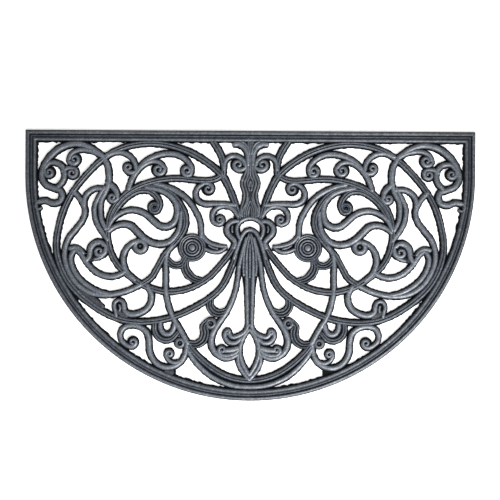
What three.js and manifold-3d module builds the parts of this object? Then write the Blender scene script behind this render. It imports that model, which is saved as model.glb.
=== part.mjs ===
// Half-round rubber doormat: a moulded frame filled with scrolled openwork, all one solid.
// Millimetres, +Z up. The origin is the middle of the mat's box on the plane it lies on,
// with the straight edge towards +Y.

import * as THREE from 'three';
import * as BufferGeometryUtils from 'three/addons/utils/BufferGeometryUtils.js';
import Module from 'manifold-3d';

const wasm = await Module();
wasm.setup();

// The plate
const width = 750;
const depth = 450;
const thickness = 9;
const frameWidth = 20;
const frameRadius = width / 2;
const arcCentreY = -depth / 2 + frameRadius;
const arcSteps = 72;

// The channel that runs round the frame between its outer and inner bead
const channelFrom = 6.5;
const channelTo = 13.5;
const channelDepth = 2;

// The ring cut into each rosette between its rim and its middle
const rosette = { x: 97, y: 30, radius: 24, ringFrom: 13, ringTo: 17, ringDepth: 1.6, sides: 24 };

// How finely curves are followed, how near its middle a tight bend's inner edge may come, and
// the smallest gap that the mould leaves open
const samplesPerSpan = 8;
const samplesPerSection = 4;
const bendShare = 0.6;
const discSides = 20;
const chordTolerance = 0.42;
const smallestGapArea = 34;
const smallestGapWidth = 3.4;

// How far cutters reach past a face, and how near points count as one or as level
const overcut = 1;
const weldDistance = 1e-4;
const levelTolerance = 1e-3;

// Scrolls of the right half, mirrored to the left. Each row is one moulded strand:
// via is its middle line, wide its width from start to end, eye the disc [x, y, radius]
// that its end winds into. A row that says across runs over the mat's middle line.
const strands = [
  // The great loop: from the neck over the top, down the flank and back along the bottom
  { name: 'great_loop', wide: [10, 12, 12, 11, 11, 10, 11, 13, 12, 11, 11, 9],
    via: [[18, 80], [28, 112], [47, 150], [84, 180], [125, 197.5], [165, 203.5], [207, 197.5],
      [239, 182], [271, 153], [301, 113], [318, 68], [322, 22], [303, -27], [261, -67],
      [211, -91], [154, -92], [98, -73], [50, -39], [29, 2], [14, 42]] },
  { name: 'neck_rail', wide: [12, 11, 10],
    via: [[63, 208], [53, 192], [46.5, 177], [44.5, 162], [46, 148]] },

  // The hood over the leaf, its sweep to the side and the trunk that carries the volute
  { name: 'hood_sweep', wide: [10, 11, 11, 11, 10], across: true,
    via: [[0, 60], [12, 51], [24, 32], [47, 2], [66, -18], [88, -32], [112, -41], [140, -43.5],
      [163, -38.5], [181, -31], [203, -16], [221, 2], [232, 22], [237, 44], [237.5, 60]] },
  { name: 'volute_back', wide: [10, 11, 11, 10],
    via: [[237.5, 58], [235, 78], [229, 93], [218, 108], [204, 121], [186, 131.5], [165, 139],
      [140, 144], [115, 145], [90, 142.5], [70, 142], [57, 145], [46, 152]] },
  { name: 'volute_crest', wide: [8, 10, 11, 10], eye: [159, 97, 13],
    via: [[236, 62], [228, 83], [217, 101], [202, 115.5], [184, 124.5], [167, 123.5],
      [155.5, 114], [150.5, 101], [154, 91]] },
  { name: 'volute_leaf_high', wide: [8, 11, 12, 11, 10],
    via: [[237, 60], [229, 76], [216, 87], [200, 92], [185, 90.5], [172, 84], [160, 73],
      [149, 65.5], [137, 65], [127, 71], [122, 83], [121.5, 96], [126, 108], [137, 119],
      [152, 126], [174, 130]] },
  { name: 'volute_leaf_low', wide: [8, 13, 12, 11, 8],
    via: [[236, 56], [226, 64], [212, 68.5], [199, 66], [188, 56], [176, 44.5], [162, 37],
      [147, 35.5], [134, 39.5], [124, 49], [118.5, 60], [116, 74], [115, 90]] },
  { name: 'volute_front', wide: [9, 11, 11, 10, 10],
    via: [[176, 131], [150, 129], [131, 119], [117, 103], [108.5, 84], [108, 66], [116, 49],
      [129, 33], [142, 18], [152, 0], [164, -20], [181, -32]] },
  { name: 'flank_inner', wide: [10, 11, 11, 10, 10],
    via: [[181, -32], [205, -43], [237, -49.5], [265, -46], [288, -31], [303, -8], [309, 18],
      [303, 43], [289, 61], [277.5, 78], [275.5, 93], [284, 111], [299, 127]] },
  { name: 'flank_hook', wide: [8, 10, 10, 10, 10],
    via: [[230, -49], [250, -44.5], [266, -37], [281, -25.5], [292, -11], [298, 5], [297.5, 17],
      [292, 25]] },
  { name: 'flank_hook_down', wide: [9, 10, 11, 10],
    via: [[290, 26], [282, 19], [274, 7], [263, -6], [250, -15], [235, -19], [220, -17],
      [207, -10]] },
  { name: 'flank_curl', wide: [9, 10, 9], eye: [251, 23, 13],
    via: [[274, 5], [268, 15], [266.5, 28], [259, 37], [248, 38.5], [240, 31]] },
  { name: 'trunk_curl', wide: [10, 11, 9], eye: [183, 32, 14],
    via: [[192, -24], [204, -13], [210, 0], [211, 15], [206, 27], [197, 36], [186, 41]] },
  { name: 'rosette_drop', wide: [10, 11, 10, 9],
    via: [[160, 136], [139, 131], [120, 122], [104, 109.5], [91, 91], [83, 72], [81, 48]] },

  // Curls above the volute
  { name: 'crown_curl_near', wide: [10, 11, 11, 9], eye: [105.5, 158, 12.5],
    via: [[203, 126], [196, 146], [186, 161], [173, 174], [157, 182.5], [139, 186.5],
      [121, 184.5], [107, 176], [98, 163], [100, 151]] },
  { name: 'crown_curl_mid', wide: [8, 10, 9], eye: [153, 159.5, 13],
    via: [[199, 138], [190, 154], [178, 167], [164, 173.5], [151, 171], [143, 162]] },
  { name: 'crown_curl_far', wide: [9, 10, 9], eye: [203.5, 163, 10.5],
    via: [[240, 182], [224, 188], [210, 187], [199, 180], [192, 169], [190, 157]] },
  { name: 'stem_front', wide: [11, 11, 10, 9],
    via: [[247, 182], [238, 166], [235.5, 150], [236, 137], [241, 122], [248, 108], [249.5, 92],
      [247.5, 76], [240, 60]] },
  { name: 'stem_back', wide: [8, 9, 10, 9],
    via: [[243, 130], [252, 114], [258.5, 99], [259, 85], [255, 70], [247, 56], [237, 42]] },
  { name: 'stem_bridge', wide: [10, 10, 10],
    via: [[241, 127], [257, 127.5], [268, 122], [275.5, 112], [277, 98]] },
  { name: 'stem_curl', wide: [11, 12, 10], eye: [230, 112.5, 10.5],
    via: [[238, 137], [229.5, 131], [223, 122], [221, 111]] },

  // The corner
  { name: 'corner_arch', wide: [11, 13, 12, 12, 11],
    via: [[247, 182], [263, 193.5], [281, 201], [300, 201], [319, 193.5], [335, 179], [345, 162],
      [347.5, 147], [341, 134], [328, 128], [317, 124], [313, 115], [317, 106], [328, 102.5],
      [342, 107], [357, 103]] },
  { name: 'corner_curl', wide: [10, 11, 11, 9], eye: [335, 154, 11.5],
    via: [[321, 129], [312, 140], [309.5, 152], [313, 163], [323, 170], [335, 169.5], [343, 160]] },
  { name: 'corner_curl_high', wide: [9, 10, 9], eye: [293, 176, 12.5],
    via: [[247, 181], [259, 188], [272, 191.5], [286, 191.5], [298, 185], [303, 174]] },
  { name: 'corner_curl_low', wide: [9, 9, 8], eye: [297, 153, 12],
    via: [[314, 156], [304, 161.5], [293, 161]] },
  { name: 'corner_foot', wide: [9, 8],
    via: [[358, 106], [351, 98]] },

  // Curls that lean on the neck
  { name: 'cap_curl', wide: [8, 10, 9], eye: [20.5, 168.5, 13.5],
    via: [[44, 160], [42, 174], [34, 181.5], [23, 182.5], [12, 176], [8, 165]] },
  { name: 'shoulder_curl', wide: [9, 10, 10, 8], eye: [70, 128, 12],
    via: [[24, 101], [44, 103], [61, 103], [77, 103], [87.5, 109], [91, 119.5], [87, 130],
      [77, 137]] },
  { name: 'neck_root', wide: [9, 9],
    via: [[12, 84], [27, 78]] },
  { name: 'neck_curl', wide: [8, 9, 9, 8], eye: [50.5, 77, 9.5],
    via: [[20, 82], [26, 92], [36, 98.5], [48, 99], [58, 94], [63, 84], [61, 73], [52, 68.5]] },
  { name: 'post_flare', wide: [8, 10, 13, 10],
    via: [[4, 168], [5, 186], [11, 198], [20, 203], [28, 202]] },
  { name: 'halo', wide: [8, 8, 8], across: true,
    via: [[0, 79.5], [11, 77], [19, 69], [20, 58], [14, 47]] },
  { name: 'ear_outer', wide: [8, 11, 12, 11, 9],
    via: [[18, 73], [29, 73], [36, 69], [39.5, 60.5], [37.5, 52], [31, 45], [25.5, 37], [25, 27]] },
  { name: 'ear_inner', wide: [8, 12, 9],
    via: [[22, 72], [28, 62], [26, 51], [17, 42]] },

  // Round the rosette
  { name: 'rosette_swag', wide: [9, 13, 13, 9],
    via: [[80, 47], [70.5, 34], [58, 28.5], [48, 28], [37, 30]] },
  { name: 'rosette_cup', wide: [11, 11, 11],
    via: [[138, 10], [130, 2], [120, -0.5], [111.5, 4], [106, 14]] },
  { name: 'rosette_tail', wide: [9, 13, 15, 12, 8],
    via: [[106, 12], [108, -3], [103, -14], [93, -22], [78, -26]] },
  { name: 'drop_line', wide: [9, 10, 10, 10, 11],
    via: [[129, 33], [138, 21], [140, 6], [140, -15], [140, -36], [138.5, -52], [134, -70],
      [127, -88], [116, -106], [103, -130]] },
  { name: 'belly_hook', wide: [10, 11, 12, 10], eye: [217.5, -66, 11.5],
    via: [[171, -33], [164, -48], [164.5, -61], [172, -73], [186, -80.5], [200, -81], [210, -72]] },
  { name: 'belly_hook_tip', wide: [9, 8],
    via: [[225, -66], [223, -86]] },
  { name: 'belly_hook_seat', wide: [9, 10],
    via: [[188, -85.5], [205, -84.5], [220, -80.5]] },

  // The lower scrolls
  { name: 'foot_scroll', wide: [10, 11, 11, 11, 10, 9], eye: [194, -128, 10.5],
    via: [[104, -130], [107, -148], [114, -160], [126, -168], [141, -169.5], [154, -163.5],
      [163, -152], [167, -138], [167.5, -124], [171, -112], [181, -103.5], [195, -100],
      [208, -103], [215, -113], [213.5, -125], [205, -133]] },
  { name: 'foot_curl', wide: [8, 8, 8], eye: [133, -147, 9],
    via: [[108, -150], [115, -159], [125, -162], [134, -158], [139, -150]] },
  { name: 'foot_web', wide: [14, 14],
    via: [[129, -168], [129, -188]] },
  { name: 'crescent_outer', wide: [8, 9, 9, 8],
    via: [[158, -94], [158, -109], [152, -119.5], [141, -124.5], [130, -122.5], [120, -112]] },
  { name: 'crescent_inner', wide: [8, 10, 10, 8],
    via: [[149, -94], [148, -106], [141.5, -113.5], [133, -113.5], [126.5, -106], [125, -97]] },
  { name: 'belly_leaf', wide: [9, 13, 15, 15, 9],
    via: [[101, -130], [89, -131.5], [78, -124.5], [74, -112], [75.5, -101], [69, -92]] },
  { name: 'belly_swag', wide: [10, 14, 14, 9],
    via: [[65, -55], [66, -67], [60, -76], [50, -79], [38, -75]] },
  { name: 'base_arc_high', wide: [11, 11, 11], across: true,
    via: [[0, -190.5], [25, -187.5], [45, -180.5], [62, -170.5], [78, -158], [92, -144], [104, -129]] },
  { name: 'base_arc_low', wide: [10, 10, 9], across: true,
    via: [[0, -201.5], [25, -199.5], [45, -193.5], [65, -183], [82, -168.5], [96, -152], [105, -137]] },

  // The leaf, its side ribs and the flower at its foot
  { name: 'leaf_side', wide: [9, 10, 10, 11, 12.5, 11, 9],
    via: [[6, 46], [12, 25], [17.5, 2], [20, -20], [23.5, -40], [30, -60], [39, -78], [51, -95],
      [61, -112], [64, -127], [59, -142], [47, -152], [34, -154], [20, -148]] },
  { name: 'flower_volute', wide: [8, 9, 8], eye: [45.5, -140, 9.5],
    via: [[16, -138], [24, -145.5], [34, -149], [45, -149]] },
  { name: 'flower_fill', wide: [12, 13, 10],
    via: [[18, -137], [29, -140], [42, -141]] },
  { name: 'flower_arm', wide: [8, 9, 10],
    via: [[2, -98], [8, -110], [19, -117], [29, -118.5], [35, -112]] },
  { name: 'flower_petal', wide: [9, 10, 9], eye: [36, -110.5, 6.5],
    via: [[14, -121], [23, -128], [34, -127], [41, -118], [40, -110]] },
  { name: 'flower_almond', wide: [8, 9, 9, 9, 8],
    via: [[1, -106], [9, -117], [14.5, -130], [16, -143], [13, -158], [7, -171], [0, -182]] },
  { name: 'flower_sheath', wide: [6, 8, 8, 8],
    via: [[18, -146], [19, -159], [14, -172], [6, -183], [0, -190]] },
];

// Plain discs of the right half: the rosette, the head of the flank hook and the two studs
const discs = [
  { name: 'rosette', x: rosette.x, y: rosette.y, radius: rosette.radius },
  { name: 'stud_low', x: 116, y: -129, radius: 9.5 },
  { name: 'hook_head', x: 290, y: 25.5, radius: 5.5 },
  { name: 'stud_high', x: 64.5, y: -96, radius: 10.5 },
];

// Upright pieces on the middle line: half the width at each height y
const uprights = [
  { name: 'post',
    sections: [
      { y: 212, half: 20 }, { y: 198, half: 10 }, { y: 186, half: 8 }, { y: 160, half: 8.5 },
      { y: 149, half: 13 }, { y: 138, half: 17.5 }, { y: 127, half: 14 }, { y: 116, half: 12.5 },
      { y: 106, half: 14.5 }, { y: 97, half: 17 }, { y: 80, half: 17 },
    ] },
  { name: 'leaf',
    sections: [
      { y: 58, half: 3 }, { y: 46, half: 7 }, { y: 20, half: 12.5 }, { y: -18, half: 13 },
      { y: -36, half: 10.5 }, { y: -60, half: 9 }, { y: -80, half: 7.5 }, { y: -92, half: 7 },
      { y: -101, half: 8.5 }, { y: -112, half: 12 },
    ] },
];

// A material like sun-dulled moulded rubber
const rubber = new THREE.MeshStandardMaterial({ color: '#33373b', roughness: 0.62, metalness: 0 });

// The D outline at a given distance inside the mat's edge, counter-clockwise
function frameOutline(inset) {
  const radius = frameRadius - inset;
  const topY = depth / 2 - inset;
  const points = [new THREE.Vector2(radius, topY), new THREE.Vector2(-radius, topY)];
  for (let i = 0; i <= arcSteps; i++) {
    const angle = Math.PI + (Math.PI * i) / arcSteps;
    points.push(new THREE.Vector2(radius * Math.cos(angle), arcCentreY + radius * Math.sin(angle)));
  }
  return points;
}

// Width at fraction t of a strand, run straight between the widths listed
function widthAt(wide, t) {
  const place = t * (wide.length - 1);
  const i = Math.min(Math.floor(place), wide.length - 2);
  return THREE.MathUtils.lerp(wide[i], wide[i + 1], place - i);
}

// The middle line of a strand as a smooth curve, carried over the middle line if it runs across
function middleLine({ via, across }) {
  const half = via.map(([x, y]) => new THREE.Vector3(x, y, 0));
  if (!across) return new THREE.CatmullRomCurve3(half, false, 'centripetal');
  const mirrored = half.slice(1).reverse().map((p) => new THREE.Vector3(-p.x, p.y, 0));
  return new THREE.CatmullRomCurve3([...mirrored, ...half], false, 'centripetal');
}

// How sharply a curve turns to its left at t, as one over the radius
function turnAt(curve, t, step) {
  const before = curve.getTangent(Math.max(t - step, 0));
  const after = curve.getTangent(Math.min(t + step, 1));
  const run = curve.getPoint(Math.max(t - step, 0)).distanceTo(curve.getPoint(Math.min(t + step, 1)));
  return (before.x * after.y - before.y * after.x) / run;
}

// The outline of a strand: its two edges, half the width either side of the middle line, the
// inner edge held short of the middle of a tight bend
function strandOutline(strand) {
  const curve = middleLine(strand);
  const count = (curve.points.length - 1) * samplesPerSpan;
  const left = [];
  const right = [];
  for (let i = 0; i <= count; i++) {
    const t = i / count;
    const along = strand.across ? Math.abs(2 * t - 1) : t;
    const reach = widthAt(strand.wide, along) / 2;
    const turn = turnAt(curve, t, 1 / count);
    const innerReach = Math.min(reach, bendShare / Math.abs(turn));
    const leftReach = turn > 0 ? innerReach : reach;
    const rightReach = turn < 0 ? innerReach : reach;
    const p = curve.getPoint(t);
    const d = curve.getTangent(t);
    left.push(new THREE.Vector2(p.x - d.y * leftReach, p.y + d.x * leftReach));
    right.push(new THREE.Vector2(p.x + d.y * rightReach, p.y - d.x * rightReach));
  }
  return [...right, ...left.reverse()];
}

function discOutline({ x, y, radius }, sides = discSides) {
  return Array.from({ length: sides }, (_, i) => {
    const angle = (2 * Math.PI * i) / sides;
    return new THREE.Vector2(x + radius * Math.cos(angle), y + radius * Math.sin(angle));
  });
}

// An upright's outline: one smooth edge up each side of the middle line
function uprightOutline({ sections }) {
  const edge = new THREE.SplineCurve(sections.map(({ y, half }) => new THREE.Vector2(half, y)));
  const right = edge.getPoints((sections.length - 1) * samplesPerSection);
  const left = right.map((p) => new THREE.Vector2(-p.x, p.y)).reverse();
  return [...right, ...left];
}

function mirrorX(outline) {
  return outline.map((p) => new THREE.Vector2(-p.x, p.y)).reverse();
}

// A prism on the outline, from one height to another
function prism(outline, from, to, holes = []) {
  const shape = new THREE.Shape(outline);
  shape.holes = holes.map((hole) => new THREE.Path(hole));
  const geometry = new THREE.ExtrudeGeometry(shape, { depth: to - from, bevelEnabled: false });
  geometry.translate(0, 0, from);
  return geometry;
}

function toSolid(geometry) {
  geometry.deleteAttribute('normal');
  geometry.deleteAttribute('uv');
  const merged = BufferGeometryUtils.mergeVertices(geometry, weldDistance);
  return new wasm.Manifold(new wasm.Mesh({
    numProp: 3,
    vertProperties: new Float32Array(merged.attributes.position.array),
    triVerts: new Uint32Array(merged.index.array),
  }));
}

function toGeometry(solid) {
  const mesh = solid.getMesh();
  const geometry = new THREE.BufferGeometry();
  geometry.setAttribute('position', new THREE.BufferAttribute(new Float32Array(mesh.vertProperties), 3));
  geometry.setIndex(new THREE.BufferAttribute(new Uint32Array(mesh.triVerts), 1));
  return geometry;
}

// The closed loops round a solid's top face, read off the edges that only one top triangle uses
function topLoops(solid, height) {
  const { vertProperties, triVerts } = solid.getMesh();
  const isTop = (v) => Math.abs(vertProperties[3 * v + 2] - height) < levelTolerance;
  const next = new Map();
  const used = new Set();
  const faces = [];
  for (let i = 0; i < triVerts.length; i += 3) {
    const face = [triVerts[i], triVerts[i + 1], triVerts[i + 2]];
    if (face.every(isTop)) faces.push(face);
  }
  for (const face of faces) {
    for (let k = 0; k < 3; k++) used.add(`${face[k]},${face[(k + 1) % 3]}`);
  }
  for (const face of faces) {
    for (let k = 0; k < 3; k++) {
      const a = face[k];
      const b = face[(k + 1) % 3];
      if (!used.has(`${b},${a}`)) next.set(a, b);
    }
  }
  const loops = [];
  while (next.size) {
    const start = next.keys().next().value;
    const loop = [];
    for (let v = start; next.has(v);) {
      loop.push(new THREE.Vector2(vertProperties[3 * v], vertProperties[3 * v + 1]));
      const following = next.get(v);
      next.delete(v);
      v = following;
    }
    loops.push(loop);
  }
  return loops;
}

// Keeps the points of an open run that stand off its chord by more than the tolerance
function thinRun(points, tolerance) {
  if (points.length < 3) return points;
  const a = points[0];
  const b = points[points.length - 1];
  const chord = b.clone().sub(a);
  const length = chord.length() || 1;
  let far = 0;
  let reach = 0;
  for (let i = 1; i < points.length - 1; i++) {
    const off = points[i].clone().sub(a);
    const distance = Math.abs(chord.x * off.y - chord.y * off.x) / length;
    if (distance > reach) [far, reach] = [i, distance];
  }
  if (reach <= tolerance) return [a, b];
  const head = thinRun(points.slice(0, far + 1), tolerance);
  return [...head.slice(0, -1), ...thinRun(points.slice(far), tolerance)];
}

// Thins a closed loop as two runs, split at its first point and the one farthest from it
function thinLoop(loop, tolerance) {
  let far = 0;
  for (let i = 1; i < loop.length; i++) {
    if (loop[i].distanceTo(loop[0]) > loop[far].distanceTo(loop[0])) far = i;
  }
  const head = thinRun(loop.slice(0, far + 1), tolerance);
  const tail = thinRun([...loop.slice(far), loop[0]], tolerance);
  return [...head.slice(0, -1), ...tail.slice(0, -1)];
}

function perimeter(loop) {
  return loop.reduce((sum, p, i) => sum + p.distanceTo(loop[(i + 1) % loop.length]), 0);
}

function isOpenGap(loop) {
  const area = -THREE.ShapeUtils.area(loop);
  return area > smallestGapArea && (2 * area) / perimeter(loop) > smallestGapWidth / 2;
}

// The frame and every strand, disc and upright joined into one plate
function joinedPlate() {
  const sides = strands.filter((strand) => !strand.across);
  const eyes = strands.filter((strand) => strand.eye)
    .map(({ eye: [x, y, radius] }) => ({ x, y, radius }));
  const halves = [
    ...sides.map(strandOutline),
    ...eyes.map((eye) => discOutline(eye)),
    ...discs.map((disc) => discOutline(disc, rosette.sides)),
  ];
  const outlines = [
    ...halves,
    ...halves.map(mirrorX),
    ...strands.filter((strand) => strand.across).map(strandOutline),
    ...uprights.map(uprightOutline),
  ];
  let plate = toSolid(prism(frameOutline(0), 0, thickness, [frameOutline(frameWidth)]));
  for (const outline of outlines) plate = plate.add(toSolid(prism(outline, 0, thickness)));
  return plate.intersect(toSolid(prism(frameOutline(0), 0, thickness)));
}

// The same plate on thinned outlines, with the gaps that are too small to mould closed
function cleanPlate() {
  const loops = topLoops(joinedPlate(), thickness).map((loop) => thinLoop(loop, chordTolerance));
  const gaps = loops.filter(isOpenGap)
    .map((loop) => toSolid(prism(loop, -overcut, thickness + overcut)));
  const blank = toSolid(prism(frameOutline(0), 0, thickness));
  return gaps.reduce((plate, gap) => plate.subtract(gap), blank);
}

function buildMat() {
  let mat = cleanPlate();
  const channelFloor = thickness - channelDepth;
  const above = thickness + overcut;
  const channel = prism(frameOutline(channelFrom), channelFloor, above, [frameOutline(channelTo)]);
  mat = mat.subtract(toSolid(channel));
  for (const side of [1, -1]) {
    const at = { x: side * rosette.x, y: rosette.y };
    const rim = discOutline({ ...at, radius: rosette.ringTo }, rosette.sides);
    const middle = discOutline({ ...at, radius: rosette.ringFrom }, rosette.sides);
    mat = mat.subtract(toSolid(prism(rim, thickness - rosette.ringDepth, above, [middle])));
  }
  return mat;
}

const doormat = new THREE.Group();
const mat = new THREE.Mesh(toGeometry(buildMat()), rubber);
mat.name = 'scroll_mat';
doormat.add(mat);

export default doormat;
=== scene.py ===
# Half-round rubber doormat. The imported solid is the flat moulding. This file raises the ridged
# scrolls and the beaded frame on it, gives it its rubber, and lays it on a pale floor.
import math
import random
import bpy
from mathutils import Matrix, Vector


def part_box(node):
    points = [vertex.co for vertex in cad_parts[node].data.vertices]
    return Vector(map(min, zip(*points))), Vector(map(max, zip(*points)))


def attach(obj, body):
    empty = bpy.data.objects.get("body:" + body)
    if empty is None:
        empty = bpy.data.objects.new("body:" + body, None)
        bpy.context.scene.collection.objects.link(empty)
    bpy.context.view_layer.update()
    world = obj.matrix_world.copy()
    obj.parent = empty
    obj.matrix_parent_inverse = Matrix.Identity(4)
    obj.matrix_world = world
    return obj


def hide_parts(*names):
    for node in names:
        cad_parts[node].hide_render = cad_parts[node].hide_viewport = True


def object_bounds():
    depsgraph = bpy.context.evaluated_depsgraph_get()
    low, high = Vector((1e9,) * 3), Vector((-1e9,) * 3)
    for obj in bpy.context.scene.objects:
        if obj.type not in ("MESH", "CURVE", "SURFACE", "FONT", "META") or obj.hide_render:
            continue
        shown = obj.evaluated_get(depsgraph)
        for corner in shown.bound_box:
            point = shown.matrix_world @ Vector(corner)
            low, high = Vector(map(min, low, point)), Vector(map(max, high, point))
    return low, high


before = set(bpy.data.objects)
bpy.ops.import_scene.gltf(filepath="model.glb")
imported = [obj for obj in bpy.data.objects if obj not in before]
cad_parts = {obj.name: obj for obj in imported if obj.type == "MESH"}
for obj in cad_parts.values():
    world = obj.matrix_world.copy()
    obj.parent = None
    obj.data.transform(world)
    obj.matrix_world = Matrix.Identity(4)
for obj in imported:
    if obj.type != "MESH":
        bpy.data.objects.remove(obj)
cadLow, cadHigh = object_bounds()
matLow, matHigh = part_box("scroll_mat")
mm = 0.001
matWidth = (matHigh.x - matLow.x) / mm
matDepth = (matHigh.y - matLow.y) / mm
crest = (matHigh.z - matLow.z) / mm  # the ridges end level with the solid's top
print("frame loaded, mat", round(matWidth), "x", round(matDepth), "x", round(crest), "mm")


# Camera: straight down, as the photo was taken, with the mat turned a third of a degree in it
view = {
    "pictureWidth": 835.0,  # mm of floor across the picture
    "lens": 85,  # mm
    "sensor": 36,  # mm
    "centre": (0.1, 26.5),  # the floor point in the middle of the picture, mm
    "turn": 0.33,  # degrees
}


def placeCamera():
    distance = view["pictureWidth"] * mm / view["sensor"] * view["lens"]
    x, y = view["centre"]
    bpy.ops.object.camera_add(location=(x * mm, y * mm, distance))
    camera = bpy.context.active_object
    camera.name = "camera"
    camera.data.lens = view["lens"]
    camera.data.sensor_width = view["sensor"]
    camera.rotation_euler = (0, 0, math.radians(view["turn"]))
    bpy.context.scene.camera = camera


placeCamera()
print("camera placed")


# Edit mode selects faces, not points or edges
bpy.context.tool_settings.mesh_select_mode = (False, False, True)


def pickOnly(*pieces):
    bpy.ops.object.select_all(action="DESELECT")
    for piece in pieces:
        piece.select_set(True)
    bpy.context.view_layer.objects.active = pieces[0]


def joinPieces(name, pieces):
    pickOnly(*pieces)
    bpy.ops.object.join()
    joined = bpy.context.active_object
    joined.name = name
    joined.data.name = name
    return joined


def countTriangles(piece):
    return sum(len(face.vertices) - 2 for face in piece.data.polygons)


# A grid whose rows become the rings of a ridge, its columns the points across it. The last
# column lies on the first, and on a ridge that closes so does the last row.
def growRidge(name, rings, loop=False):
    columns = len(rings[0]) + 1
    rows = len(rings) + (1 if loop else 0)
    bpy.ops.object.select_all(action="DESELECT")
    bpy.ops.mesh.primitive_grid_add(x_subdivisions=columns - 1, y_subdivisions=rows - 1, size=1)
    piece = bpy.context.active_object
    piece.name = name
    for point in piece.data.vertices:
        row, column = divmod(point.index, columns)
        point.co = Vector(rings[row % len(rings)][column % (columns - 1)]) * mm
    return piece


weldGap = 0.002  # mm


# Welds the seams, closes the ends and turns every face outwards
def sealMesh(piece):
    pickOnly(piece)
    bpy.ops.object.mode_set(mode="EDIT")
    bpy.ops.mesh.select_all(action="SELECT")
    bpy.ops.mesh.remove_doubles(threshold=weldGap * mm)
    bpy.ops.mesh.select_all(action="SELECT")
    bpy.ops.mesh.fill_holes(sides=0)
    bpy.ops.mesh.select_all(action="SELECT")
    bpy.ops.mesh.normals_make_consistent(inside=False)
    bpy.ops.object.mode_set(mode="OBJECT")


# The sole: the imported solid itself, pressed down to the web that joins the ridges
sole = {
    "height": 4.0,  # mm
}


def pressSole():
    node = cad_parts["scroll_mat"]
    piece = bpy.data.objects.new("mat_sole", node.data.copy())
    bpy.context.scene.collection.objects.link(piece)
    piece.data.materials.clear()
    piece.scale.z = sole["height"] / crest
    pickOnly(piece)
    bpy.ops.object.transform_apply(location=False, rotation=False, scale=True)
    sealMesh(piece)
    return piece


matSole = pressSole()
print("sole pressed,", len(matSole.data.vertices), "points")


# The moulding leaves a ragged skirt of flash at the foot of the ropes and of the frame
flash = {
    "seed": 11,
    "rope": 1.1,  # mm, the widest it gets
    "frame": 2.4,  # mm
    "thinning": 2,  # the higher, the fewer long tags
}
dice = random.Random(flash["seed"])


def raggedShare():
    return dice.random() ** flash["thinning"]


# The frame: two round beads with a low one between them, run round the D of the mat
beads = {
    "backSteps": 170,  # points along the straight back
    "sideSteps": 18,
    "arcSteps": 280,
    # distance in from the edge and height, both mm
    "section": [
        (0, 0.4), (0, 3.4), (0.9, 5.4), (2.6, 7.8), (4.8, crest), (6.0, 8.0), (6.9, 5.8),
        (7.5, 4.6), (8.1, 5.9), (9.0, 6.5), (9.9, 6.6), (10.7, 6.1), (11.5, 5.6), (12.4, 6.2),
        (13.6, 7.6), (15.5, crest), (17.1, 7.9), (18.4, 5.4), (19.4, 3.0),
    ],
    "inner": 20,  # mm in from the edge to where the flash starts
    "skirt": [2.2, 0.4],  # mm, the flash's upper and lower height there
}


# The D at a distance in from the edge: the straight back, two short sides and the round front
def dShape(inset):
    radius = matWidth / 2 - inset
    back = matDepth / 2 - inset
    centreY = -matDepth / 2 + matWidth / 2
    shape = []
    for i in range(beads["backSteps"]):
        shape.append((radius - 2 * radius * i / beads["backSteps"], back))
    for i in range(beads["sideSteps"]):
        shape.append((-radius, back + (centreY - back) * i / beads["sideSteps"]))
    for i in range(beads["arcSteps"]):
        angle = math.pi + math.pi * i / beads["arcSteps"]
        shape.append((radius * math.cos(angle), centreY + radius * math.sin(angle)))
    for i in range(beads["sideSteps"]):
        shape.append((radius, centreY + (back - centreY) * i / beads["sideSteps"]))
    return shape


def runFrame():
    lines = [[(x, y, z) for x, y in dShape(inset)] for inset, z in beads["section"]]
    near, far = dShape(beads["inner"]), dShape(beads["inner"] + flash["frame"])
    ragged = [raggedShare() for spot in near]
    for z in beads["skirt"]:
        lines.append([(nearX + (farX - nearX) * share, nearY + (farY - nearY) * share, z)
                      for (nearX, nearY), (farX, farY), share in zip(near, far, ragged)])
    rings = [list(ring) for ring in zip(*lines)]
    return growRidge("frameBeads", rings, loop=True)


frameBeads = runFrame()
print("frame run round")


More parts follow.
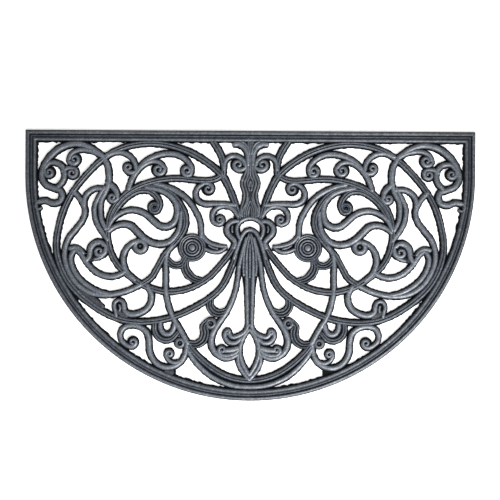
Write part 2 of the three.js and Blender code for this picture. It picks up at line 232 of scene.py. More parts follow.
# The scrolls: ropes laid along given routes, all in mm
#   via: the stops of the route       wide: the rope's width, from start to end
#   ridges: two or three, else one    body: a plain low rope that fills a web or carries ridges
#   eye: the disc (x, y, radius) that the end winds into
#   stud: the eye is a round boss, so the rope takes no winding
#   sink: lowers the top, or raises it where it is negative
#   across: runs over the middle line and gives its right half alone
#   straight: laid as it stands. All the other rows are for the right half and are mirrored.
scrolls = {
    "step": 3.4,  # mm between rings
    "spanSteps": 2,  # the fewest steps from one stop to the next
    "foot": 0.4,  # mm, ropes stand just inside the sole
    "draft": 0.85,  # mm that each side of a rope spreads beyond the sole's web
    "bendShare": 0.6,  # share of a bend's radius that a rope may fill on its inside
    "leastBend": 1e-6,  # radians a mm, so that a straight stretch divides by no 0
    "nose": [(0.55, 0.83), (0.85, 0.52), (0.98, 0.2)],  # round ends: reach and width left
    "noseReach": 0.55,  # share of the half width that a nose sticks out
    "noseHeight": 0.55,  # share of the height that a nose of no width would have
    "curlTurns": 1.15,  # times round the eye
    "curlStep": 2.2,  # mm between rings, about
    "curlTip": 5.4,  # mm wide where the winding ends
    "curlFull": 0.2,  # share that a winding is wider than its rope
    "curlSwell": 0.15,  # share of the winding over which it gets that wide
    "curlEase": 0.3,  # share of the winding over which it draws in to its disc
    "curlInner": 2.3,  # mm from the eye's middle
    "shoulder": 2.0,  # mm, what lies below it keeps its height when a rope is sunk
    # share of the half width and height in mm, from the middle out, 0 for a body and otherwise
    # by the number of ridges
    "sections": {
        0: [(0, 5.6), (0.7, 5.4), (0.88, 4.4), (1, 2.0), (1, 0.4)],
        1: [(0, crest), (0.24, 8.85), (0.44, 8.1), (0.6, 6.9), (0.74, 5.2), (0.87, 3.4),
            (0.93, 2.4), (1, 2.0), (1, 0.4)],
        2: [(0, 6.1), (0.08, 6.7), (0.17, 8.4), (0.27, crest), (0.45, 8.1), (0.6, 6.7),
            (0.74, 4.9), (0.88, 3.0), (0.93, 2.4), (1, 2.0), (1, 0.4)],
        3: [(0, 8.8), (0.1, 8.2), (0.21, 6.0), (0.3, 5.0), (0.4, 6.2), (0.5, 8.2), (0.6, crest),
            (0.71, 8.0), (0.81, 5.4), (0.89, 3.2), (0.94, 2.4), (1, 2.0), (1, 0.4)],
    },
}

scrolls["sides"] = [
    # The great loop: from the neck over the top, down the flank and back along the bottom
    dict(name="greatLoop", ridges=2, wide=[10, 12, 12, 11, 11, 10, 11, 13, 12, 11, 11, 9],
      via=[[18, 80], [28, 112], [47, 150], [84, 180], [125, 197.5], [165, 203.5], [207, 197.5],
        [239, 182], [271, 153], [301, 113], [318, 68], [322, 22], [303, -27], [261, -67],
        [211, -91], [154, -92], [98, -73], [50, -39], [29, 2], [24, 19]]),
    dict(name="neckRail", ridges=2, wide=[12, 11, 10],
      via=[[63, 208], [53, 192], [46.5, 177], [44.5, 162], [46, 148]]),

    # The hood over the leaf, its sweep to the side and the trunk that carries the volute
    dict(name="hood", wide=[8, 8, 8, 7.6], across=True,
      via=[[0, 60], [6, 58.4], [11.3, 53], [15.5, 45], [19.3, 35], [22.8, 24], [26.5, 12]]),
    dict(name="hoodSweep", ridges=2, wide=[8, 10, 11, 11, 10],
      via=[[25.5, 37], [29, 28.5], [36, 17.5], [47, 3.5], [66, -17.5], [88, -32], [112, -41],
        [140, -43.5], [163, -38.5], [181, -31], [203, -16], [221, 2], [232, 22], [237, 44],
        [237.5, 60]]),
    dict(name="voluteBack", ridges=2, wide=[10, 11, 11, 10],
      via=[[237.5, 58], [235, 78], [229, 93], [218, 108], [204, 121], [186, 131.5], [165, 139],
        [140, 144], [115, 145], [90, 142.5], [70, 142], [57, 145], [46, 152]]),
    dict(name="voluteCrest", ridges=2, wide=[8, 10, 11, 10], eye=[159, 97, 13],
      via=[[236, 62], [228, 83], [217, 101], [202, 115.5], [184, 124.5], [167, 123.5],
        [155.5, 114], [150.5, 101], [154, 91]]),
    dict(name="voluteLeafHigh", wide=[8, 11, 12, 11, 10],
      via=[[237, 60], [229, 76], [216, 87], [200, 92], [185, 90.5], [172, 84], [160, 73],
        [149, 65.5], [137, 65], [127, 71], [122, 83], [121.5, 96], [126, 108], [137, 119],
        [152, 126], [174, 130]]),
    dict(name="voluteLeafLow", wide=[8, 13, 12, 11, 8],
      via=[[236, 56], [226, 64], [212, 68.5], [199, 66], [188, 56], [176, 44.5], [162, 37],
        [147, 35.5], [134, 39.5], [124, 49], [118.5, 60], [116, 74], [115, 90]]),
    dict(name="voluteFront", ridges=2, wide=[9, 11, 11, 10, 10],
      via=[[176, 131], [150, 129], [131, 119], [117, 103], [108.5, 84], [108, 66], [116, 49],
        [129, 33], [142, 18], [152, 0], [164, -20], [181, -32]]),
    dict(name="flankInner", wide=[10, 11, 11, 10, 10],
      via=[[181, -32], [205, -43], [237, -49.5], [265, -46], [288, -31], [303, -8], [309, 18],
        [303, 43], [289, 61], [277.5, 78], [275.5, 93], [284, 111], [295.5, 123]]),
    dict(name="flankHook", wide=[8, 10, 10, 10, 10],
      via=[[230, -49], [250, -44.5], [266, -37], [281, -25.5], [292, -11], [298, 5], [297.5, 17],
        [292, 25]]),
    dict(name="flankHookDown", wide=[9, 10, 11, 10],
      via=[[290, 26], [282, 19], [274, 7], [263, -6], [250, -15], [235, -19], [220, -17],
        [207, -10]]),
    dict(name="flankHookHead", wide=[7, 8, 9, 10],
      via=[[277, 19.5], [282, 25.5], [290, 29.4], [300, 27.5]]),
    dict(name="flankCurlWeb", body=True, wide=[8, 8, 8],
      via=[[251, 14], [260, 11], [269, 9]]),
    dict(name="flankCurlTail", wide=[6, 7, 6],
      via=[[245, 15], [252, 11.8], [259, 9.5]]),
    dict(name="flankCurl", wide=[9, 11, 13, 12, 10], eye=[251, 23, 13],
      via=[[274, 5], [267.4, 15], [265.6, 28], [258.4, 36.2], [248, 37.6], [240.4, 31]]),
    dict(name="flankFlash", sink=-1.3, body=True, straight=True, wide=[5, 9, 10, 9, 4],
      via=[[-284, -42.5], [-274, -48], [-264, -54.5], [-252.5, -63.5], [-243, -70]]),
    dict(name="trunkCurl", stud=True, wide=[10, 11, 9], eye=[183, 32, 14],
      via=[[192, -24], [204, -13], [210, 0], [211, 15], [206, 27], [197, 36], [186, 41]]),
    dict(name="rosetteDrop", wide=[10, 11, 10, 9],
      via=[[160, 136], [139, 131], [120, 122], [104, 109.5], [91, 91], [83, 72], [81, 48]]),

    # Curls above the volute
    dict(name="crownCurlNear", wide=[10, 11, 11, 9], eye=[105.5, 158, 12.5],
      via=[[203, 126], [196, 146], [186, 161], [173, 174], [157, 182.5], [139, 186.5],
        [121, 184.5], [107, 176], [98, 163], [100, 151]]),
    dict(name="crownCurlMid", wide=[8, 10, 9], eye=[153, 159.5, 13],
      via=[[199, 138], [190, 154], [178, 167], [164, 173.5], [151, 171], [143, 162]]),
    dict(name="crownCurlFar", wide=[9, 10, 9], eye=[203.5, 163, 10.5],
      via=[[240, 182], [224, 188], [210, 187], [199, 180], [192, 169], [190, 157]]),
    dict(name="stemFront", wide=[11, 11, 10, 9],
      via=[[247, 182], [238, 166], [235.5, 150], [236, 137], [241, 122], [248, 108], [249.5, 92],
        [247.5, 76], [240, 60]]),
    dict(name="stemBack", wide=[8, 9, 10, 9],
      via=[[243, 130], [252, 114], [258.5, 99], [259, 85], [255, 70], [247, 56], [237, 42]]),
    dict(name="stemBridge", wide=[10, 10, 10],
      via=[[241, 127], [257, 127.5], [268, 122], [275.5, 112], [277, 98]]),
    dict(name="stemCurl", wide=[11, 12, 10], eye=[230, 112.5, 10.5],
      via=[[238, 137], [229.5, 131], [223, 122], [221, 111]]),

    # The corner
    dict(name="cornerArch", wide=[11, 13, 12, 12, 11],
      via=[[247, 182], [263, 193.5], [281, 201], [300, 201], [319, 193.5], [335, 179], [345, 162],
        [347.5, 147], [341, 134], [328, 128], [317, 124], [313, 115], [317, 106], [328, 102.5],
        [342, 107], [352, 105]]),
    dict(name="cornerCurl", wide=[10, 11, 11, 9], eye=[335, 154, 11.5],
      via=[[321, 129], [312, 140], [309.5, 152], [313, 163], [323, 170], [335, 169.5], [343, 160]]),
    dict(name="cornerCurlHigh", wide=[9, 10, 9], eye=[293, 176, 12.5],
      via=[[247, 181], [259, 188], [272, 191.5], [286, 191.5], [298, 185], [303, 174]]),
    dict(name="cornerCurlLow", wide=[9, 9, 8], eye=[297, 153, 12],
      via=[[314, 156], [304, 161.5], [293, 161]]),
    dict(name="cornerFoot", wide=[9, 8, 7, 7, 6, 5],
      via=[[343, 106.5], [350, 106.5], [356, 103], [357, 97], [352.5, 92.8], [347.5, 95]]),

    # Curls that lean on the neck
    dict(name="capCurl", wide=[8, 10, 9], eye=[20.5, 168.5, 13.5],
      via=[[44, 160], [42, 174], [34, 181.5], [23, 182.5], [12, 176], [8, 165]]),
    dict(name="shoulderCurl", wide=[9, 10, 10, 8], eye=[70, 128, 12],
      via=[[24, 101], [44, 103], [61, 103], [77, 103], [87.5, 109], [91, 119.5], [87, 130],
        [77, 137]]),
    dict(name="neckCurl", wide=[8, 9, 9, 8], eye=[50.5, 77, 9.5],
      via=[[20, 82], [26, 92], [36, 98.5], [48, 99], [58, 94], [63, 84], [61, 73], [52, 68.5]]),
    dict(name="postFlare", wide=[8, 10, 13, 10],
      via=[[4, 168], [5, 186], [11, 198], [20, 203], [28, 202]]),
    dict(name="halo", wide=[8, 7.8, 7.4, 7], across=True,
      via=[[0, 79.8], [8.5, 78.2], [16.4, 73.4], [21.2, 66.5], [22.2, 59], [20.4, 51.5], [17, 45]]),
    dict(name="ear", wide=[8, 10, 10.6, 10.6, 10, 9.4],
      via=[[20, 74.5], [29, 73.6], [36.6, 68], [38.6, 60.5], [36.6, 53.5], [31, 47.5], [26, 42],
        [24.6, 36], [27.6, 29.5]]),
    dict(name="earRib", wide=[3, 3.4, 3],
      via=[[29.2, 66], [30.4, 61], [29.2, 56]]),

    # Round the rosette
    dict(name="swagHigh", wide=[8, 8, 7.5, 7, 5],
      via=[[81, 51], [71, 40], [59, 34.5], [48, 32.5], [39, 32]]),
    dict(name="swagLow", wide=[6, 7, 7.5, 7, 5],
      via=[[75, 28.5], [64, 24], [54, 23.2], [46, 26], [40, 30.5]]),
    dict(name="swagRib", wide=[3, 4, 3],
      via=[[69, 34], [62, 30], [54, 28]]),
    dict(name="rosetteCup", ridges=3, wide=[11, 11, 11],
      via=[[138, 10], [130, 2], [120, -0.5], [111.5, 4], [106, 14]]),
    dict(name="rosetteTail", ridges=3, wide=[9, 13, 15, 12, 8],
      via=[[106, 12], [108, -3], [103, -14], [93, -22], [78, -26]]),
    dict(name="dropLine", wide=[9, 10, 10, 10, 11],
      via=[[129, 33], [138, 21], [140, 6], [140, -15], [140, -36], [138.5, -52], [134, -70],
        [127, -88], [116, -106], [103, -130]]),
    dict(name="bellyHook", wide=[10, 11, 12, 10, 8, 7.5, 7.5],
      via=[[171, -33], [164, -48], [164.5, -61], [172, -73], [186, -80.5], [200, -81.5],
        [208, -76], [209.5, -67], [212, -60.5], [218, -58], [223.5, -61], [225.5, -68],
        [223.5, -76], [222, -85]]),
    dict(name="bellyHookDrop", wide=[4.5, 5, 4],
      via=[[217, -66], [215.5, -71], [216.5, -76]]),
    dict(name="bellyHookWeb", body=True, sink=-1.5, wide=[6, 8, 7, 4],
      via=[[218.5, -75], [216, -79.5], [211, -83.5], [204, -86]]),

    # The lower scrolls
    dict(name="footScroll", wide=[10, 11, 11, 11, 10, 9], eye=[194, -128, 10.5],
      via=[[104, -130], [107, -148], [114, -160], [126, -168], [141, -169.5], [154, -163.5],
        [163, -152], [167, -138], [167.5, -124], [171, -112], [181, -103.5], [195, -100],
        [208, -103], [215, -113], [213.5, -125], [205, -133]]),
    dict(name="footWeb", sink=-1.0, body=True, straight=True, wide=[8, 10, 11],
      via=[[-140, -175.5], [-134, -177], [-128, -178.5]]),
    dict(name="footCurl", wide=[8, 8, 8], eye=[133, -147, 9],
      via=[[108, -150], [115, -159], [125, -162], [134, -158], [139, -150]]),
    dict(name="crescentOuter", ridges=2, wide=[9, 11, 11, 9],
      via=[[158, -94], [158, -109], [152, -119.5], [141, -124.5], [130, -122.5], [120, -112]]),
    dict(name="crescentInner", wide=[9, 11, 11, 9],
      via=[[149, -94], [148, -106], [141.5, -113.5], [133, -113.5], [126.5, -106], [125, -97]]),
    dict(name="bellyLeaf", ridges=3, wide=[9, 13, 15, 15, 9],
      via=[[101, -130], [89, -131.5], [78, -124.5], [74, -112], [75.5, -101], [69, -92]]),
    dict(name="bellySwag", ridges=3, wide=[10, 14, 14, 9],
      via=[[65, -55], [66, -67], [60, -76], [50, -79], [38, -75]]),
    dict(name="baseArcHigh", ridges=2, wide=[11, 11, 11], across=True,
      via=[[0, -190.5], [25, -187.5], [45, -180.5], [62, -170.5], [78, -158], [92, -144],
        [104, -129]]),
    dict(name="baseArcLow", wide=[10, 10, 9], across=True,
      via=[[0, -201.5], [25, -199.5], [45, -193.5], [65, -183], [82, -168.5], [96, -152],
        [105, -137]]),
]

scrolls["middle"] = [
    # The leaf, its side ribs and the flower at its foot
    dict(name="leafSide", wide=[7.6, 8.6, 9, 10.6, 12.5, 11, 9],
      via=[[6, 46], [12, 25], [17.5, 2], [20, -20], [23.5, -40], [30, -60], [39, -78], [51, -95],
        [61, -112], [64, -127], [59, -142], [47, -152], [34, -154], [20, -148]]),
    dict(name="flowerVolute", wide=[8, 9, 8], eye=[45.5, -140, 9.5],
      via=[[16, -138], [24, -145.5], [34, -149], [45, -149]]),
    dict(name="flowerFill", wide=[12, 13, 10],
      via=[[18, -137], [29, -140], [42, -141]]),
    dict(name="flowerArm", wide=[8, 9, 10],
      via=[[2, -98], [8, -110], [19, -117], [29, -118.5], [35, -112]]),
    dict(name="flowerPetal", wide=[9, 10, 9], eye=[36, -110.5, 6.5],
      via=[[14, -121], [23, -128], [34, -127], [41, -118], [40, -110]]),
    dict(name="flowerAlmond", wide=[8, 9, 9, 9, 8],
      via=[[1, -106], [9, -117], [14.5, -130], [16, -143], [13, -158], [7, -171], [0, -182]]),
    dict(name="flowerSheath", wide=[6, 8, 8, 8],
      via=[[18, -146], [19, -159], [14, -172], [6, -183], [0, -190]]),

    # Bodies that the ridges of the post and the ribs of the leaf stand on
    dict(name="postBody", body=True, straight=True,
      wide=[13, 13, 14, 17, 22, 28, 24, 20, 22, 27, 30],
      via=[[0, 207], [0, 194], [0, 180], [0, 166], [0, 152], [0, 139], [0, 126], [0, 114],
        [0, 103], [0, 93], [0, 83]]),
    dict(name="leafBody", body=True, straight=True,
      wide=[5, 15, 24, 30, 33, 30, 20, 16, 14, 12, 11, 9],
      via=[[0, 56], [0, 44], [0, 32], [0, 18], [0, 4], [0, -10], [0, -24], [0, -38], [0, -54],
        [0, -70], [0, -86], [0, -102]]),

    # Ridges of the post: rails that part round the diamond and fan out into nested arches
    dict(name="postRail", sink=1.5, wide=[6, 6, 6, 5.5, 5, 5, 5, 5.5],
      via=[[3.4, 212], [3.4, 190], [3.8, 170], [3.8, 158], [5.2, 149], [9.5, 139], [7.5, 129],
        [4.6, 120], [5.2, 111], [8.5, 101], [12.6, 92], [13, 82]]),
    dict(name="postEdge", sink=1.5, wide=[5, 5, 5, 5, 5, 5],
      via=[[7, 188], [6.6, 172], [7, 159], [10.5, 149], [14.4, 138], [11.6, 127], [9.8, 117],
        [12, 106], [14.8, 97], [15.2, 84]]),
    dict(name="postLozenge", sink=1.5, wide=[4, 4, 4],
      via=[[0.8, 149], [3.6, 143.5], [4.8, 138], [3.2, 131.5], [1.4, 125]]),
    dict(name="postLozengeMiddle", sink=1.5, wide=[3, 3.4, 3], across=True,
      via=[[0, 141.5], [1.2, 137], [1.4, 132]]),
    dict(name="archOuter", sink=1.5, wide=[3, 4, 4.2, 4],
      via=[[2.2, 115], [4.8, 105], [8.4, 95.5], [9.2, 88], [9.3, 81]]),
    dict(name="archMiddle", sink=1.5, wide=[3, 3.6, 3.6, 3.4],
      via=[[0.6, 108], [3.4, 100], [5.7, 93], [6, 87], [6, 81]]),
    dict(name="archInner", sink=1.5, wide=[3, 3.2, 3],
      via=[[0.4, 99.5], [2, 94.5], [2.8, 88], [2.8, 81]]),
    dict(name="flareUpper", wide=[4, 4.5, 5, 5],
      via=[[1.8, 186], [3.4, 195], [8, 202.5], [15, 207]]),

    # Ribs of the leaf
    dict(name="leafRibFar", wide=[3, 4.4, 5, 5, 4],
      via=[[1.6, 53], [5.8, 42], [9, 28], [10.3, 12], [10.8, -4], [10, -16]]),
    dict(name="leafRibNear", wide=[3, 4, 5, 6.2, 7.6, 8, 7.6, 7, 6.4, 5.5],
      via=[[0.6, 50], [3, 38], [5, 22], [5.6, 4], [5.4, -16], [4.9, -38], [4.3, -60], [3.7, -80],
        [3.7, -93], [4.2, -102]]),
    dict(name="postSpine", sink=1.5, wide=[5, 8, 7, 6, 4], straight=True,
      via=[[0, 206], [0, 190], [0, 172], [0, 160], [0, 150]]),
    dict(name="leafRibMiddle", wide=[3, 4, 4.4, 4, 3.4], straight=True,
      via=[[0, 37], [0, 20], [0, 2], [0, -19]]),
]


# A smooth line through the stops, as (point, share of the way) pairs. Each stop's slope comes
# from its neighbours and the roots of their distances, so that close stops make no loops.
def smoothLine(stops):
    points = [Vector(stop) for stop in stops]
    run = [2 * points[0] - points[1], *points, 2 * points[-1] - points[-2]]
    line = []
    spans = len(points) - 1
    for i in range(spans):
        a, b, c, d = run[i:i + 4]
        before, here, after = ((q - p).length ** 0.5 for p, q in ((a, b), (b, c), (c, d)))
        leave = ((b - a) / before - (c - a) / (before + here) + (c - b) / here) * here
        reach = ((c - b) / here - (d - b) / (here + after) + (d - c) / after) * here
        count = max(scrolls["spanSteps"], math.ceil((c - b).length / scrolls["step"]))
        for k in range(count):
            t = k / count
            point = (b * (2 * t**3 - 3 * t**2 + 1) + leave * (t**3 - 2 * t**2 + t)
                     + c * (3 * t**2 - 2 * t**3) + reach * (t**3 - t**2))
            line.append((point, (i + t) / spans))
    line.append((points[-1], 1.0))
    return line


def widthAt(wide, share):
    place = share * (len(wide) - 1)
    i = min(int(place), len(wide) - 2)
    return wide[i] + (wide[i + 1] - wide[i]) * (place - i)


# The winding from the end of a rope into the middle of its eye, as (point, width) pairs
def windCurl(end, heading, width, eye):
    x, y, radius = eye
    out = end - Vector((x, y))
    side = 1 if out.x * heading.y - out.y * heading.x > 0 else -1
    start = math.atan2(out.y, out.x)
    turns = scrolls["curlTurns"] * 2 * math.pi
    outer = radius - width / 2
    inner = scrolls["curlInner"]
    count = math.ceil(turns * (outer + inner) / 2 / scrolls["curlStep"])
    wound = []
    for k in range(1, count + 1):
        share = k / count
        ease = max(0.0, 1 - share / scrolls["curlEase"]) ** 2
        reach = outer + (inner - outer) * share + (out.length - outer) * ease
        angle = start + side * turns * share
        point = Vector((x + reach * math.cos(angle), y + reach * math.sin(angle)))
        fuller = 1 + scrolls["curlFull"] * min(1.0, share / scrolls["curlSwell"])
        wound.append((point, (width + (scrolls["curlTip"] - width) * share**2) * fuller))
    return wound


# The whole route of a rope, as (point, width) pairs
def traceRoute(row):
    via = row["via"]
    if row.get("across"):
        via = [(-x, y) for x, y in reversed(via[1:])] + via
    trace = []
    for point, share in smoothLine(via):
        along = abs(2 * share - 1) if row.get("across") else share
        trace.append((point, widthAt(row["wide"], along)))
    if row.get("eye") and not row.get("stud"):
        heading = trace[-1][0] - trace[-2][0]
        trace += windCurl(trace[-1][0], heading, trace[-1][1], row["eye"])
    return trace


# The points across a rope, from its left foot over the top to its right foot
def ropeSection(row):
    half = scrolls["sections"][0 if row.get("body") else row.get("ridges", 1)]
    shoulder = scrolls["shoulder"]
    half = [(share, z - row.get("sink", 0) * max(0, z - shoulder) / (crest - shoulder))
            for share, z in half]
    return [(-share, z) for share, z in reversed(half) if share > 0] + half


# How sharply a route bends at one of its points, in radians a mm, and not at all at its ends
def bendAt(trace, i):
    if i in (0, len(trace) - 1):
        return 0.0
    ahead = trace[i + 1][0] - trace[i][0]
    behind = trace[i][0] - trace[i - 1][0]
    bend = math.atan2(behind.x * ahead.y - behind.y * ahead.x, behind.dot(ahead))
    return bend / ((ahead.length + behind.length) / 2)


# Rings that carry a rope's end ring on into a round nose, each narrower and lower
def roundNose(ring, point, forward, reach):
    foot = scrolls["foot"]
    lowest = scrolls["noseHeight"]
    nose = []
    for far, widthLeft in scrolls["nose"]:
        push = forward * far * reach * scrolls["noseReach"]
        drop = lowest + (1 - lowest) * widthLeft
        nose.append([
            (point.x + (x - point.x) * widthLeft + push.x,
             point.y + (y - point.y) * widthLeft + push.y,
             foot + (z - foot) * drop)
            for x, y, z in ring])
    return nose


# One rope: its section set square to the route, narrowed on the inside of tight bends, with a
# round nose at each end
def layRope(row):
    trace = traceRoute(row)
    section = ropeSection(row)
    last = len(trace) - 1
    rings = []
    for i, (point, width) in enumerate(trace):
        ahead = trace[min(i + 1, last)][0] - point
        behind = point - trace[max(i - 1, 0)][0]
        along = (ahead + behind).normalized()
        across = Vector((along.y, -along.x))
        bend = bendAt(trace, i)
        reach = width / 2 + scrolls["draft"]
        tight = min(reach, scrolls["bendShare"] / max(abs(bend), scrolls["leastBend"]))
        left = tight if bend > 0 else reach
        right = tight if bend < 0 else reach
        leftSkirt = left + raggedShare() * flash["rope"]
        rightSkirt = right + raggedShare() * flash["rope"]
        ring = []
        for share, z in section:
            side = right if share > 0 else left
            if abs(share) == 1:
                side = rightSkirt if share > 0 else leftSkirt
            spot = point + across * share * side
            ring.append((spot.x, spot.y, z))
        if i == 0:
            rings = roundNose(ring, point, -along, reach)[::-1]
        rings.append(ring)
        if i == last:
            rings += roundNose(ring, point, along, reach)
    return growRidge(row["name"], rings)


# Bosses: the studs and the rosettes, in mm. Each step is an inset and a rise.
bosses = {
    "faceUp": 0.9,  # a face whose normal rises this much is the top
    "studs": [(116, -129, 9.5), (64.5, -96, 10.5)],  # x, y and radius, beside those in the eyes
    "studSides": 28,
    "studWall": 3.8,  # height of the side below the first step
    # the insets are shares of the stud's radius
    "studSteps": [(0.14, 2.4), (0.16, 1.6), (0.16, 0.9), (0.14, -1.0), (0.08, -2.4),
                  (0.05, -2.2), (0.05, 0.0), (0.04, 2.0), (0.06, 1.2)],
    "rosette": (96.2, 30, 24),
    "rosetteSides": 48,
    "rosetteWall": 3.4,
    # rings and grooves from the rim in to the knob
    "rosetteSteps": [(1.0, 2.2), (1.0, 1.6), (1.0, 1.0), (0.9, -0.4), (0.6, -1.6), (0.6, -0.2),
                     (0.5, 1.6), (0.8, 0.9), (0.9, -0.3), (0.6, -2.6), (0.5, -1.4), (0.7, 0.0),
                     (0.5, 2.4), (0.6, 1.6), (1.0, 0.6), (1.1, -0.3), (0.7, -1.4), (0.5, -2.4),
                     (0.7, -0.2), (0.5, 2.4), (0.5, 1.4), (0.8, 0.5), (0.8, -0.5), (0.5, -1.8),
                     (0.5, -1.9), (0.6, 0.0), (0.4, 2.4), (0.6, 1.4), (1.1, 0.5)],
}


# A round boss: a short cylinder whose top is inset and raised step by step
def raiseBoss(name, x, y, radius, wall, steps, sides):
    foot = scrolls["foot"]
    bpy.ops.object.select_all(action="DESELECT")
    bpy.ops.mesh.primitive_cylinder_add(
        vertices=sides, radius=radius * mm, depth=(wall - foot) * mm,
        location=(x * mm, y * mm, (wall + foot) / 2 * mm), end_fill_type="NGON")
    piece = bpy.context.active_object
    piece.name = name
    bpy.ops.object.transform_apply(location=True, rotation=False, scale=False)
    for face in piece.data.polygons:
        face.select = face.normal.z > bosses["faceUp"]
    bpy.ops.object.mode_set(mode="EDIT")
    for inset, rise in steps:
        bpy.ops.mesh.inset(thickness=inset * mm)
        bpy.ops.transform.translate(value=(0, 0, rise * mm))
    bpy.ops.object.mode_set(mode="OBJECT")
    return piece


def raiseStud(place):
    x, y, radius = place
    radius += scrolls["draft"]
    steps = [(inset * radius, rise) for inset, rise in bosses["studSteps"]]
    return raiseBoss("stud", x, y, radius, bosses["studWall"], steps, bosses["studSides"])


def raiseRosette():
    x, y, radius = bosses["rosette"]
    return raiseBoss("rosette", x, y, radius, bosses["rosetteWall"], bosses["rosetteSteps"],
                     bosses["rosetteSides"])


def setBosses():
    places = [row["eye"] for row in scrolls["sides"] if row.get("stud")] + bosses["studs"]
    return [raiseStud(place) for place in places] + [raiseRosette()]


def mirrorAcross(piece):
    pickOnly(piece)
    mirror = piece.modifiers.new("otherHalf", "MIRROR")
    mirror.use_axis = (True, False, False)
    mirror.use_mirror_merge = False
    bpy.ops.object.modifier_apply(modifier=mirror.name)


# Rows that cross the middle line, or stand straight, are laid once. The others are mirrored.
def layRopes(rows, mirrored):
    laid = []
    for row in rows:
        laidOnce = row.get("across", False) or row.get("straight", False)
        if laidOnce != mirrored:
            laid.append(layRope(row))
    return laid


sideRopes = joinPieces("sideRopes", layRopes(scrolls["sides"], mirrored=True))
sealMesh(sideRopes)
matScrolls = joinPieces("mat_scrolls", [sideRopes, *setBosses()])
mirrorAcross(matScrolls)
print("side scrolls and bosses laid and mirrored,", countTriangles(matScrolls), "triangles")

middleRopes = joinPieces("middleRopes", layRopes(scrolls["middle"], mirrored=True))
sealMesh(middleRopes)
mirrorAcross(middleRopes)
loneRopes = layRopes(scrolls["sides"] + scrolls["middle"], mirrored=False)
framing = joinPieces("framing", [frameBeads, *loneRopes])
sealMesh(framing)
matFrame = joinPieces("mat_frame", [framing, middleRopes])
print("frame, post, leaf and flower joined,", countTriangles(matFrame), "triangles")

smoothBelow = {"ridges": 50, "sole": 30}  # degrees between faces


def smoothFaces(piece, angle):
    piece.data.materials.clear()
    pickOnly(piece)
    bpy.ops.object.shade_smooth_by_angle(angle=math.radians(angle))


smoothFaces(matScrolls, smoothBelow["ridges"])
smoothFaces(matFrame, smoothBelow["ridges"])
smoothFaces(matSole, smoothBelow["sole"])
print("faces smoothed")


# Colours are sRGB hex, turned to the linear values that the shader takes
def linear(hexColour):
    channels = [int(hexColour[i:i + 2], 16) / 255 for i in (1, 3, 5)]
    return [c / 12.92 if c <= 0.04045 else ((c + 0.055) / 1.055) ** 2.4 for c in channels] + [1]


# Adds a node with its settings, and fills its sockets with values or other nodes' sockets
def addNode(tree, kind, sockets=None, **settings):
    node = tree.nodes.new(kind)
    for key, value in settings.items():
        setattr(node, key, value)
    for key, value in (sockets or {}).items():
        if isinstance(value, bpy.types.NodeSocket):
            tree.links.new(value, node.inputs[key])
        else:
            node.inputs[key].default_value = value
    return node


# Compression-moulded black rubber. It leaves the press satin and finely grained. Low down, in the
# grooves and on the flanks, its colour is painted near black and dull as shade. Feet rub the ridges
# to a paler blue grey, and the two upright sides are painted darker as shade. Dust clings to the
# ridges' grain as pale specks.
rubber = {
    # groove: the rubber's black, darkened further as painted shade for the grooves and flanks
    "groove": "#08090b",
    "ridge": "#3c4149",
    "dust": "#6b7178",
    "low": 4.5,  # mm above the floor; below it the colour is painted shade at its darkest, above it the rubbing starts
    "high": 8.8,  # mm, where the rubbed paleness is full and the painted shade is gone
    "paintedSideShade": 260,  # mm from the middle to where painted shade starts to darken the sides
    "unshadedShareAtSides": 0.6,  # share of the crests' paleness left at the two sides, the rest is painted shade
    "mottle": 9,  # mm, the size of the cloudy patches
    "mottleDetail": 5,
    "mottleRoughness": 0.62,
    "mottleSpan": (0.3, 0.7),  # the noise between its thinnest and its thickest patches
    "mottleRub": (0.5, 1.04),  # share of the rubbed paleness there
    "grain": 2.2,  # mm, coarser than the real grain so that it shows
    "grainDetail": 3,
    "grainRoughness": 0.6,
    "grainDepth": 0.2,  # mm
    "grainBump": 0.6,
    "speckSpan": (0.53, 0.68),  # the grain's noise from no dust to the most
    "speckMost": 0.95,
    "roughGroove": 0.75,
    "roughRidge": 0.36,
    "sheenGroove": 0.02,  # the grooves keep hardly any shine, dulled as painted shade
    "sheenRidge": 0.68,
    "ior": 1.52,
}


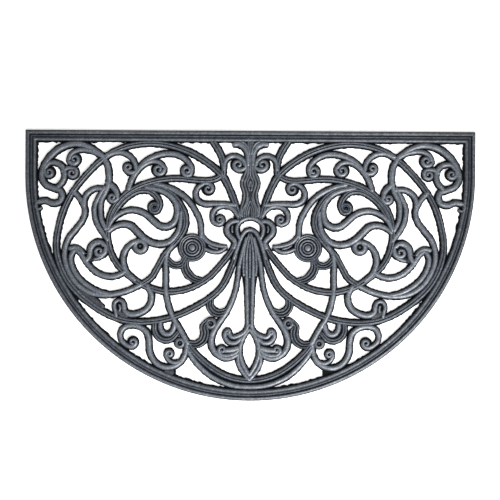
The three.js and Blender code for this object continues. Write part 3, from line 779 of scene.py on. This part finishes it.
def mouldedRubber():
    material = bpy.data.materials.new("moulded_black_rubber")
    material.use_nodes = True
    tree = material.node_tree
    tree.nodes.clear()
    place = addNode(tree, "ShaderNodeTexCoord").outputs["Object"]
    spot = addNode(tree, "ShaderNodeSeparateXYZ", {"Vector": place}).outputs
    # Painted shade by height: below the crests the colour runs to near black as shade, and on the
    # crests it pales with wear
    heightWearAndShade = addNode(tree, "ShaderNodeMapRange", {
        "Value": spot["Z"], "From Min": rubber["low"] * mm, "From Max": rubber["high"] * mm,
    }, interpolation_type="SMOOTHSTEP").outputs["Result"]
    cloud = addNode(tree, "ShaderNodeTexNoise", {
        "Vector": place, "Scale": 1 / (rubber["mottle"] * mm),
        "Detail": rubber["mottleDetail"], "Roughness": rubber["mottleRoughness"],
    }).outputs["Fac"]
    patchy = addNode(tree, "ShaderNodeMapRange", {
        "Value": cloud,
        "From Min": rubber["mottleSpan"][0], "From Max": rubber["mottleSpan"][1],
        "To Min": rubber["mottleRub"][0], "To Max": rubber["mottleRub"][1],
    }).outputs["Result"]
    # Painted shade: the two upright sides are made darker, as less light falls on them
    sideways = addNode(tree, "ShaderNodeMath", {0: spot["X"]}, operation="ABSOLUTE").outputs[0]
    paintedSideShade = addNode(tree, "ShaderNodeMapRange", {
        "Value": sideways, "From Min": rubber["paintedSideShade"] * mm, "From Max": matWidth / 2 * mm,
        "To Min": 1, "To Max": rubber["unshadedShareAtSides"],
    }).outputs["Result"]
    mottleAndSideShade = addNode(tree, "ShaderNodeMath", {
        0: patchy, 1: paintedSideShade,
    }, operation="MULTIPLY").outputs[0]
    # share: the crests' paleness from wear, against painted shade low down and at the sides; it
    # also sets the shine
    share = addNode(tree, "ShaderNodeMath", {
        0: heightWearAndShade, 1: mottleAndSideShade,
    }, operation="MULTIPLY").outputs[0]
    base = addNode(tree, "ShaderNodeMix", {
        "Factor": share, "A": linear(rubber["groove"]), "B": linear(rubber["ridge"]),
    }, data_type="RGBA").outputs["Result"]
    grain = addNode(tree, "ShaderNodeTexNoise", {
        "Vector": place, "Scale": 1 / (rubber["grain"] * mm),
        "Detail": rubber["grainDetail"], "Roughness": rubber["grainRoughness"],
    }).outputs["Fac"]
    speck = addNode(tree, "ShaderNodeMapRange", {
        "Value": grain,
        "From Min": rubber["speckSpan"][0], "From Max": rubber["speckSpan"][1],
        "To Min": 0, "To Max": rubber["speckMost"],
    }).outputs["Result"]
    dusty = addNode(tree, "ShaderNodeMath", {
        0: speck, 1: share,
    }, operation="MULTIPLY").outputs[0]
    colour = addNode(tree, "ShaderNodeMix", {
        "Factor": dusty, "A": base, "B": linear(rubber["dust"]),
    }, data_type="RGBA").outputs["Result"]
    rough = addNode(tree, "ShaderNodeMapRange", {
        "Value": share, "To Min": rubber["roughGroove"], "To Max": rubber["roughRidge"],
    }).outputs["Result"]
    sheen = addNode(tree, "ShaderNodeMapRange", {
        "Value": share, "To Min": rubber["sheenGroove"], "To Max": rubber["sheenRidge"],
    }).outputs["Result"]
    bump = addNode(tree, "ShaderNodeBump", {
        "Height": grain, "Strength": rubber["grainBump"],
        "Distance": rubber["grainDepth"] * mm,
    }).outputs["Normal"]
    shader = addNode(tree, "ShaderNodeBsdfPrincipled", {
        "Base Color": colour, "Roughness": rough, "IOR": rubber["ior"],
        "Specular IOR Level": sheen, "Normal": bump,
    })
    addNode(tree, "ShaderNodeOutputMaterial", {"Surface": shader.outputs["BSDF"]})
    return material


rubberSkin = mouldedRubber()
for piece in (matSole, matFrame, matScrolls):
    piece.data.materials.append(rubberSkin)
    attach(piece, "root")
    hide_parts("scroll_mat")


# Stage: a pale floor, one soft key in front on the right, and pale air
stage = {
    "floor": "#c3c3c2",
    "floorGlow": 0.4,  # the floor is a white acrylic sheet with a little light under it
    "floorRoughness": 0.9,
    "floorSize": 8.0,  # metres
    "keyPlace": (0.7, -1.1, 1.25),  # metres
    "keySize": 1.3,  # metres
    "keyPower": 118,  # watts
    "air": 0.9,  # strength of the light from all round
    "light": (1, 1, 1, 1),  # the colour of the floor's glow and of the air
}


def addSoftLight(name, place, size, power):
    bpy.ops.object.light_add(type="AREA", location=place)
    light = bpy.context.active_object
    light.name = name
    light.data.size = size
    light.data.energy = power
    light.rotation_euler = (-Vector(place)).to_track_quat("-Z", "Y").to_euler()


def dressStage():
    bpy.ops.object.select_all(action="DESELECT")
    bpy.ops.mesh.primitive_plane_add(size=stage["floorSize"], location=(0, 0, cadLow.z))
    floor = bpy.context.active_object
    floor.name = "floor"
    paint = bpy.data.materials.new("matt_white_floor")
    paint.use_nodes = True
    shader = paint.node_tree.nodes["Principled BSDF"]
    shader.inputs["Base Color"].default_value = linear(stage["floor"])
    shader.inputs["Roughness"].default_value = stage["floorRoughness"]
    shader.inputs["Emission Color"].default_value = stage["light"]
    shader.inputs["Emission Strength"].default_value = stage["floorGlow"]
    floor.data.materials.append(paint)
    addSoftLight("keyLight", stage["keyPlace"], stage["keySize"], stage["keyPower"])
    world = bpy.data.worlds.new("paleAir")
    world.use_nodes = True
    air = world.node_tree.nodes["Background"]
    air.inputs["Color"].default_value = stage["light"]
    air.inputs["Strength"].default_value = stage["air"]
    bpy.context.scene.world = world
    bpy.context.scene.view_settings.view_transform = "Standard"


dressStage()
print("stage dressed")
